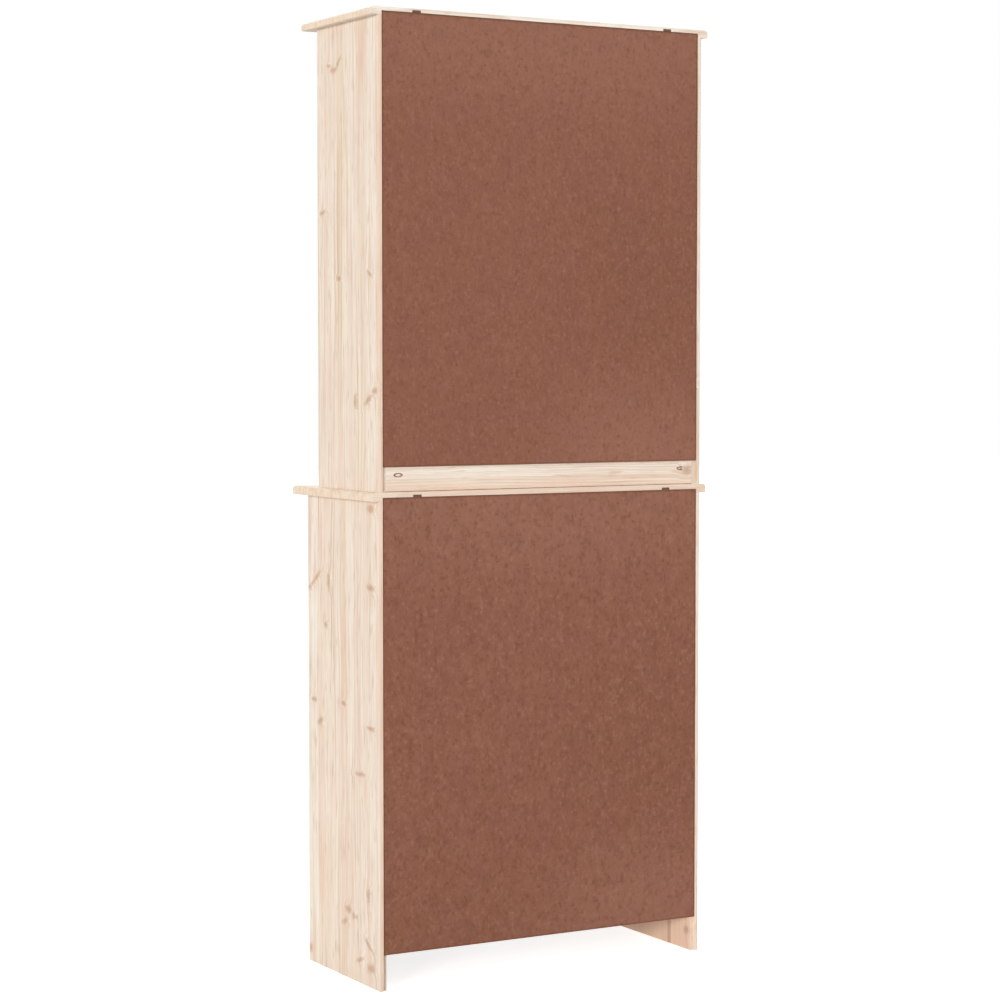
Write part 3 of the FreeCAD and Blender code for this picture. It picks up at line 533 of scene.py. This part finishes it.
def nearest(graph, plane, marks):
    """Distance to the nearest of a board's marks, in half widths of that mark."""
    distance = NO_MARK
    for across, along, half_width, half_height, lean in marks:
        placed = graph.add("ShaderNodeMapping", {
            "Vector": plane, "Location": (across, along, 0.0), "Rotation": (0.0, 0.0, math.radians(lean)),
            "Scale": (half_width, half_height, 1.0),
        }, vector_type="TEXTURE").outputs[0]
        distance = graph.math("MINIMUM", graph.vector("LENGTH", placed), distance)
    return distance


def stave_tones(board, staves, chooser):
    """Paleness of each stave, and its place in the trunk sideways and in depth."""
    stops = []
    start = 0.0
    for width, paleness in staves:
        tone = (paleness, chooser.random(), chooser.random(), 1.0)
        stops.append((min(start / board.width, 1.0), tone))
        start += width
    share = board.math("DIVIDE", board.across, board.width)
    tones = board.ramp(share, stops, "CONSTANT")[0]
    return board.add("ShaderNodeSeparateColor", {0: tones}).outputs


def mark_distances(board, knots, stains_and_seam_shade):
    """Distances to the nearest knot and to the nearest stain, painted seam shade included, with crooked
    outlines.
    """
    wander = board.vector("SUBTRACT", board.noise(board.own, *CROOK_NOISE, "Color"), (NOISE_MIDDLE,) * 3)
    crooked = board.vector("ADD", board.place, board.vector("MULTIPLY", wander, CROOK))
    plane = board.vector("MULTIPLY", crooked, FLAT)
    return nearest(board, plane, knots), nearest(board, plane, stains_and_seam_shade + knot_stains(knots))


def growth_rings(board, drift, shift, depth):
    """Late wood, 0 to 1, in rings about a pith that lies elsewhere for each stave."""
    sideways = board.math("MULTIPLY_ADD", shift, PITH_SIDEWAYS, board.math("ADD", drift, board.across))
    swollen = board.math("MULTIPLY_ADD", board.swing("swell"), RING_SWELL, board.through)
    inwards = board.math("MULTIPLY_ADD", depth, PITH_DEPTH, swollen)
    squares = [board.math("MULTIPLY", way, way) for way in (sideways, inwards)]
    from_pith = board.math("SQRT", board.math("ADD", *squares))
    ring_width = board.math("MULTIPLY_ADD", shift, RING_WIDTH_SPREAD, RING_WIDTH)
    rings = board.math("DIVIDE", from_pith, ring_width)
    phase = board.math("FRACT", board.math("MULTIPLY_ADD", board.swing("ripple"), RING_RIPPLE, rings))
    return board.math("MULTIPLY", board.fade(phase, *LATE_RISE), board.fade(phase, *LATE_FALL))


def with_painted_bounce_heartwood_and_shade(board, colour):
    """A board's colour with the painted warm bounce light on its foot, and its heartwood and painted corner
    shade, if it has them.
    """
    # Painted warm bounce light on the foot's face towards +X, inside the gap under the cabinet
    if board.name in PAINTED_BOUNCE_FEET:
        face = board.fade(board.way_through, *PAINTED_BOUNCE_TURN, 0.0, PAINTED_BOUNCE_FEET[board.name])
        foot = board.fade(board.along, *PAINTED_BOUNCE_END, 1.0, 0.0)
        colour = board.mix(board.math("MULTIPLY", face, foot), colour, PAINTED_BOUNCE_TONE)
    # Heartwood, and painted shade in a rebate corner
    if board.name in HEARTWOOD_AND_SHADE_STREAKS:
        heartwood_and_shade = nearest(board, board.flat, HEARTWOOD_AND_SHADE_STREAKS[board.name])
        colour = board.mix(board.fade(heartwood_and_shade, *HEARTWOOD_AND_SHADE_FADE), colour, HEARTWOOD_AND_SHADE_TONE)
    return colour


def with_marks(board, colour, knot, stain_and_seam_shade):
    """A board's colour with its stains, a painted shade line along a seam, its knots, and painted shade
    round the mouths of its holes.
    """
    grain = board.fade(board.measures["fine"], *STAIN_AND_SEAM_SHADE_GRAIN)
    # Stains, and a painted shade line along the rail's lower edge
    colour = board.mix(board.math("MULTIPLY", board.fade(stain_and_seam_shade, *STAIN_AND_SEAM_SHADE_FADE), grain), colour, STAIN_AND_SEAM_SHADE_TONE)
    heart = board.mix(board.fade(board.measures["patch"], *OLIVE_PATCHES), KNOT_HEART, KNOT_OLIVE)
    stops = [(distance / KNOT_REACH, (paleness, paleness, paleness, share))
             for distance, paleness, share in KNOT_ZONES]
    spot, cover = board.ramp(board.math("DIVIDE", knot, KNOT_REACH), stops)
    colour = board.mix(cover, colour, board.mix(spot, KNOT_RING, heart))
    # Painted shade round the mouths of the slanting holes
    if board.name in POCKET_RIM_SHADE:
        rim = nearest(board, board.flat, POCKET_RIM_SHADE[board.name])
        rim_shade = board.math("MULTIPLY", board.fade(rim, *RIM_SHADE_INNER), board.fade(rim, *RIM_SHADE_OUTER))
        colour = board.mix(rim_shade, colour, RIM_SHADE_TONE)
    return colour


def with_edges(board, colour, late):
    """A board's colour with its tanner long edges, painted shade on the rounded arrises beside them, and
    its sawn ends.
    """
    if board.name in TAN_EDGES_AND_ARRIS_SHADE:
        edge_way = board.math("ABSOLUTE", board.way_across)
        face_way = board.math("ABSOLUTE", board.way_through)
        edge = board.fade(edge_way, *EDGE_TURN, 0.0, TAN_EDGES_AND_ARRIS_SHADE[board.name])
        # Painted shade on the rounded arris between a long edge and a face
        arris_shade = board.fade(board.math("MULTIPLY", edge_way, face_way), *ARRIS_SHADE_TURN)
        colour = board.mix(edge, colour, EDGE_TONE_AND_ARRIS_SHADE)
        colour = board.mix(arris_shade, colour, EDGE_TONE_AND_ARRIS_SHADE)
    end_face = board.fade(board.math("ABSOLUTE", board.way_along), *END_TURN)
    sawn = board.mix(board.fade(board.measures["mottle"], *END_MOTTLE), END_GRAIN, END_GRAIN_DARK)
    rings = board.math("MULTIPLY", late, END_RING_SHARE)
    return board.mix(end_face, colour, board.mix(rings, sawn, END_GRAIN_DARK))


def pine(name, grain, across, staves, knots, stains_and_seam_shade, chooser):
    """Untreated pine on a board whose grain and width run along the given axes."""
    board = Board(name, grain, across, chooser)
    paleness, shift, depth = stave_tones(board, staves, chooser)

    # The grain drifts along a stave and bends round its knots
    knot, stain_and_seam_shade = mark_distances(board, knots, stains_and_seam_shade)
    drift = board.math("MULTIPLY", board.swing("drift"), GRAIN_DRIFT)
    drift = board.math("ADD", drift, board.fade(knot, *KNOT_BEND_FADE))
    flow = board.vector("ADD", board.own, board.join(drift))
    board.measures.update(board.noises(flow, GRAIN_NOISE))
    late = growth_rings(board, drift, shift, depth)

    colour = board.mix(paleness, TAN_WOOD, PALE_WOOD)
    colour = board.layers(colour, board.measures, GRAIN_LAYERS)
    ring_share = board.math("MULTIPLY", late, board.fade(board.measures["patch"], *RING_PATCHES))
    colour = board.mix(ring_share, colour, LATE_WOOD)
    colour = board.layers(colour, board.measures, FIBRE_LAYERS)
    colour = with_painted_bounce_heartwood_and_shade(board, colour)
    colour = with_marks(board, colour, knot, stain_and_seam_shade)
    colour = with_edges(board, colour, late)

    fibre = board.measures["fibre"]
    relief = board.math("ADD", board.math("MULTIPLY", late, LATE_RELIEF), fibre)
    board.surface(
        Base_Color=colour,
        Roughness=board.fade(fibre, *PINE_ROUGHNESS),
        Specular_IOR_Level=PINE_GLOSS,
        Normal=board.bump(relief, *PINE_RELIEF),
    )
    return board.owner


def hardboard(name, chooser):
    """Brown pressed fibre board: specked with pale and dark fibre bundles, almost smooth, with painted
    light and shade in broad patches and a painted shade line along its edges.
    """
    graph = Graph(bpy.data.materials.new(f"hardboard_{name}"))
    low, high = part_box(name)
    width = high[X] - low[X]
    tall = high[Z] - low[Z]
    place = graph.add("ShaderNodeTexCoord").outputs["Object"]
    parts = graph.split(graph.vector("SUBTRACT", place, low))
    measures = graph.noises(graph.vector("ADD", place, random_place(chooser)), HARDBOARD_NOISE)
    sheet = graph.join(parts[X], parts[Z])
    # Painted light and shade in broad patches
    for cloud, shares in HARDBOARD_LIGHT_AND_SHADE_PATCHES.items():
        marks = [(x * width, z * tall, half_width * width, half_height * tall, 0)
                 for x, z, half_width, half_height in shares]
        measures[cloud] = nearest(graph, sheet, marks)
    # Painted shade along the sheet's edges
    sideways = graph.math("MINIMUM", parts[X], graph.math("SUBTRACT", width, parts[X]))
    upright = graph.math("MINIMUM", parts[Z], graph.math("SUBTRACT", tall, parts[Z]))
    measures["edge_shade"] = graph.math("MINIMUM", sideways, upright)
    graph.surface(
        Base_Color=graph.layers(HARDBOARD, measures, HARDBOARD_LAYERS),
        Roughness=graph.fade(measures["grit"], *HARDBOARD_ROUGHNESS),
        Specular_IOR_Level=HARDBOARD_GLOSS,
        Normal=graph.bump(measures["grit"], *HARDBOARD_RELIEF),
    )
    return graph.owner


def steel(name):
    """Plated or bronzed steel with a faint cloudy finish."""
    pale, dark, roughness = STEELS[name]
    graph = Graph(bpy.data.materials.new(name))
    place = graph.add("ShaderNodeTexCoord").outputs["Object"]
    cloud = graph.noise(place, *STEEL_NOISE)
    graph.surface(
        Base_Color=graph.mix(cloud, dark, pale),
        Metallic=1.0,
        Roughness=graph.fade(cloud, *STEEL_CLOUDS, roughness - STEEL_SMOOTHER, roughness + STEEL_ROUGHER),
        Normal=graph.bump(cloud, *STEEL_RELIEF),
    )
    return graph.owner


def plastic(name):
    """Dull moulded plastic with a fine grain."""
    graph = Graph(bpy.data.materials.new(name))
    place = graph.add("ShaderNodeTexCoord").outputs["Object"]
    grain = graph.noise(place, *PLASTIC_NOISE)
    graph.surface(
        Base_Color=graph.mix(grain, PLASTIC_DARK, PLASTIC_PALE),
        Roughness=PLASTIC_ROUGHNESS,
        Normal=graph.bump(grain, *PLASTIC_RELIEF),
    )
    return graph.owner


def board_axes(name):
    """Axis of the grain and axis of the width of a pine node."""
    if "knob" in name:
        return Y, X
    if name.startswith("drawer_") and name.endswith(("_side", "_runners")):
        return Y, Z
    if name.endswith("_side"):
        return Z, Y
    if name.endswith(("_stile", "_panel")):
        return Z, X
    if name.endswith(("_rail", "drawer_front", "drawer_back", "_dowels")):
        return X, Z
    return X, Y


def pine_for(name, chooser):
    """Pine with the staves and knots of one node."""
    grain, across = board_axes(name)
    low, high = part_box(name)
    width = high[across] - low[across]
    knots = []
    stains_and_seam_shade = []
    if name in SEEN_STAVES:
        staves = SEEN_STAVES[name]
        knots = SEEN_KNOTS[name]
        stains_and_seam_shade = SEEN_STAINS_AND_SEAM_SHADE[name]
    elif any(word in name for word in CLEAR_WOOD):
        staves = [(width, chooser.uniform(*STAVE_PALENESS))]
    else:
        staves = random_staves(width, chooser)
        knots = random_knots(width, high[grain] - low[grain], chooser)
    if name in BACK_STAVE_PALENESS:
        back_width = staves.pop()[0]
        staves.append((back_width, BACK_STAVE_PALENESS[name]))
    return pine(name, grain, across, staves, knots, stains_and_seam_shade, chooser)


FITTINGS = {name: steel(name) for name in STEELS}
FITTINGS["brown_plastic"] = plastic("brown_plastic")


def dress(name, node):
    """Gives a node the finish of its slot."""
    slot = node.active_material.name.split(".")[0]
    chooser = random.Random(name)
    if slot == "pine":
        finish = pine_for(name, chooser)
    elif slot == "hardboard":
        finish = hardboard(name, chooser)
    else:
        finish = FITTINGS[OWN_FITTINGS.get(name, slot)]
    for place in node.material_slots:
        place.material = finish


for node_name, node_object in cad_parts.items():
    dress(node_name, node_object)


def seen_directly(graph):
    """1 for rays that show the backdrop itself, 0 for rays that only carry light."""
    rays = graph.add("ShaderNodeLightPath").outputs
    mirror = graph.math("MAXIMUM", rays["Is Glossy Ray"], rays["Is Transmission Ray"])
    return graph.math("MAXIMUM", rays["Is Camera Ray"], mirror)


def make_floor():
    """A white floor that glows where it is seen and keeps the shadow."""
    mesh = bpy.data.meshes.new("floor")
    half = FLOOR_SIZE / 2
    corners = [(-half, -half), (half, -half), (half, half), (-half, half)]
    mesh.from_pydata([(x, y, -FLOOR_DROP) for x, y in corners], [], [(0, 1, 2, 3)])
    floor = bpy.data.objects.new("floor", mesh)
    bpy.context.scene.collection.objects.link(floor)
    graph = Graph(bpy.data.materials.new("floor_white"))
    matt = graph.add("ShaderNodeBsdfDiffuse", {"Color": (FLOOR_ALBEDO,) * 3 + (1.0,)}).outputs[0]
    glow = graph.add("ShaderNodeEmission", {"Strength": FLOOR_GLOW}).outputs[0]
    lit = graph.add("ShaderNodeAddShader", {0: matt, 1: glow}).outputs[0]
    graph.output(graph.add("ShaderNodeMixShader", {0: seen_directly(graph), 1: matt, 2: lit}).outputs[0])
    mesh.materials.append(graph.owner)


def make_world():
    """Even light from all sides, white where it is seen."""
    world = bpy.data.worlds.new("studio")
    bpy.context.scene.world = world
    graph = Graph(world)
    light = graph.add("ShaderNodeBackground", {"Color": WHITE, "Strength": WORLD_LIGHT}).outputs[0]
    white = graph.add("ShaderNodeBackground", {"Color": WHITE, "Strength": BACKDROP_LIGHT}).outputs[0]
    mixed = graph.add("ShaderNodeMixShader", {0: seen_directly(graph), 1: light, 2: white}).outputs[0]
    graph.output(mixed, "ShaderNodeOutputWorld")


def make_lamps():
    """Distant lamps, each turned so that its light comes from the given direction."""
    for name, (towards, width, strength) in LAMPS.items():
        lamp = bpy.data.lights.new(name, "SUN")
        lamp.angle = math.radians(width)
        lamp.energy = strength
        holder = bpy.data.objects.new(name, lamp)
        holder.rotation_euler = Vector(towards).to_track_quat("Z", "Y").to_euler()
        bpy.context.scene.collection.objects.link(holder)


def make_camera():
    """The camera behind the highboard, beside its right side."""
    data = bpy.data.cameras.new("camera")
    data.lens = LENS
    data.sensor_width = SENSOR
    camera = bpy.data.objects.new("camera", data)
    camera.location = (CAMERA_TO_SIDE, CAD_HIGH.y + CAMERA_BEHIND_BACK, CAMERA_HEIGHT)
    camera.rotation_euler = (math.radians(90 - CAMERA_PITCH), 0, math.radians(180 - CAMERA_YAW))
    bpy.context.scene.collection.objects.link(camera)
    bpy.context.scene.camera = camera


make_floor()
make_world()
make_lamps()
make_camera()
bpy.context.scene.view_settings.view_transform = "Standard"
